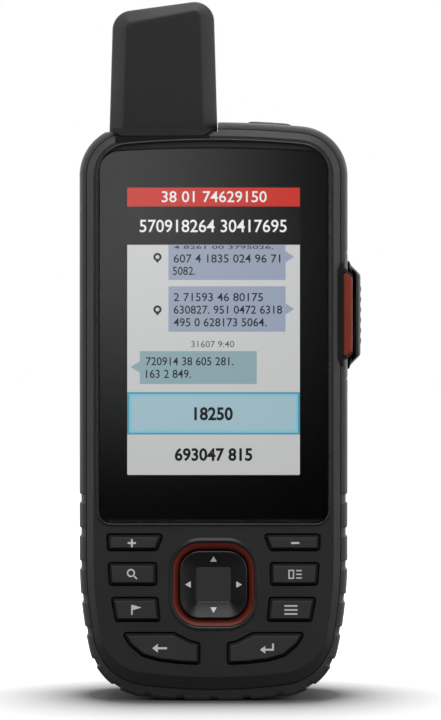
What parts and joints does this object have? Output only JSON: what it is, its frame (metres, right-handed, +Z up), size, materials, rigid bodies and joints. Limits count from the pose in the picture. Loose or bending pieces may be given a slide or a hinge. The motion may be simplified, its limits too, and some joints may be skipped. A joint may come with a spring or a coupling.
{
  "type": "handheld aviation satellite navigator",
  "caption": "Rugged handheld satellite navigator with a stub antenna, colour screen, rubber bumper, keypad with thumb rocker, flapped side key and rear mounting spine.",
  "frame": {"origin": "centre of the flat foot under the rubber bumper", "axes": "+Z up along the unit towards the antenna, -Y out of the screen towards the user, +X to the right of a person facing the screen"},
  "size_m": [0.0653, 0.0353, 0.162],
  "materials": {
    "housing": "fine moulded texture",
    "antenna_shell": "fine moulded texture",
    "bumper_rubber": "soft, fine grained",
    "silicone": "smooth",
    "foam": "open cell foam",
    "steel": "plain",
    "lens": "hard coated",
    "screen": "lit colour display",
    "light_guide": "clear acrylic in a white tray",
    "flex": "polyimide film",
    "accent": "fine moulded texture",
    "keycap": "fine moulded texture",
    "board": "solder mask on glass laminate",
    "tin_plate": "tin plated",
    "cable": "smooth jacket",
    "ceramic": "fired ceramic with silvered tracks",
    "battery_foil": "laminated foil pack",
    "switch": "moulded",
    "flap_rubber": "soft, fine grained",
    "clear": "clear polycarbonate",
    "led": "phosphor dome",
    "vent_membrane": "expanded membrane"
  },
  "bodies": {
    "case": {"antenna_board": "board", "antenna_cover": "antenna_shell", "antenna_gasket": "silicone", "antenna_lead": "cable", "antenna_screws": "steel", "battery_lead": "cable", "battery_pack": "battery_foil", "battery_pad": "foam", "battery_plug": "keycap", "board_chips": "keycap", "board_screws": "steel", "bumper": "bumper_rubber", "case_screws": "steel", "case_seal": "silicone", "front_housing": "housing", "gnss_element": "ceramic", "key_domes": "steel", "key_membrane": "silicone", "lens_tape": "foam", "lens_window": "lens", "main_board": "board", "power_switch": "switch", "pressure_vent": "vent_membrane", "rear_housing": "housing", "rocker_trim": "accent", "satcom_element": "ceramic", "screen_backlight": "light_guide", "screen_flex": "flex", "screen_panel": "screen", "shield_cans": "tin_plate", "sos_hinge_pin": "steel", "sos_housing": "housing", "sos_switch": "switch", "sos_trim": "accent", "sounder": "switch", "spine_mount": "housing", "spine_screws": "steel", "torch_led": "led", "torch_lens": "clear", "usb_board": "board", "usb_hinge_pin": "steel", "usb_port": "steel"},
    "zoom_in_key": {"key_zoom_in": "keycap"},
    "zoom_out_key": {"key_zoom_out": "keycap"},
    "search_key": {"key_search": "keycap"},
    "page_key": {"key_page": "keycap"},
    "mark_key": {"key_mark": "keycap"},
    "menu_key": {"key_menu": "keycap"},
    "back_key": {"key_back": "keycap"},
    "enter_key": {"key_enter": "keycap"},
    "rocker_ring": {"rocker_gimbal": "keycap"},
    "rocker": {"rocker_pad": "keycap"},
    "power_key": {"power_button": "keycap"},
    "side_flap": {"sos_flap": "flap_rubber"},
    "side_key": {"sos_button": "accent"},
    "socket_cap": {"usb_cap": "flap_rubber"}
  },
  "joints": [
    {"name": "zoom_in_press", "type": "slide", "parent": "case", "child": "zoom_in_key", "axis": [0, 1, 0], "range_m": [0, 0.0005], "stiffness_N_per_m": 1000, "springref_m": -0.0005},
    {"name": "zoom_out_press", "type": "slide", "parent": "case", "child": "zoom_out_key", "axis": [0, 1, 0], "range_m": [0, 0.0005], "stiffness_N_per_m": 1000, "springref_m": -0.0005},
    {"name": "search_press", "type": "slide", "parent": "case", "child": "search_key", "axis": [0, 1, 0], "range_m": [0, 0.0005], "stiffness_N_per_m": 1000, "springref_m": -0.0005},
    {"name": "page_press", "type": "slide", "parent": "case", "child": "page_key", "axis": [0, 1, 0], "range_m": [0, 0.0005], "stiffness_N_per_m": 1000, "springref_m": -0.0005},
    {"name": "mark_press", "type": "slide", "parent": "case", "child": "mark_key", "axis": [0, 1, 0], "range_m": [0, 0.0005], "stiffness_N_per_m": 1000, "springref_m": -0.0005},
    {"name": "menu_press", "type": "slide", "parent": "case", "child": "menu_key", "axis": [0, 1, 0], "range_m": [0, 0.0005], "stiffness_N_per_m": 1000, "springref_m": -0.0005},
    {"name": "back_press", "type": "slide", "parent": "case", "child": "back_key", "axis": [0, 1, 0], "range_m": [0, 0.0005], "stiffness_N_per_m": 1000, "springref_m": -0.0005},
    {"name": "enter_press", "type": "slide", "parent": "case", "child": "enter_key", "axis": [0, 1, 0], "range_m": [0, 0.0005], "stiffness_N_per_m": 1000, "springref_m": -0.0005},
    {"name": "rocker_up_down", "type": "hinge", "parent": "case", "child": "rocker_ring", "pos_m": [0, -0.0109, 0.0271], "axis": [1, 0, 0], "range_deg": [-2.5, 2.5], "stiffness_Nm_per_rad": 0.05},
    {"name": "rocker_left_right", "type": "hinge", "parent": "rocker_ring", "child": "rocker", "pos_m": [0, -0.0109, 0.0271], "axis": [0, 0, 1], "range_deg": [-2.5, 2.5], "stiffness_Nm_per_rad": 0.05},
    {"name": "power_press", "type": "slide", "parent": "case", "child": "power_key", "axis": [0, 0, -1], "range_m": [0, 0.0005], "stiffness_N_per_m": 1000, "springref_m": -0.0005},
    {"name": "side_flap_hinge", "type": "hinge", "parent": "case", "child": "side_flap", "pos_m": [0.0329, 0.0087, 0.0893], "axis": [0, 0, 1], "range_deg": [0, 110]},
    {"name": "side_key_press", "type": "slide", "parent": "case", "child": "side_key", "axis": [-1, 0, 0], "range_m": [0, 0.0006], "stiffness_N_per_m": 1000, "springref_m": -0.0005},
    {"name": "socket_cap_hinge", "type": "hinge", "parent": "case", "child": "socket_cap", "pos_m": [0, 0.014, 0.0208], "axis": [-1, 0, 0], "range_deg": [0, 95]}
  ]
}
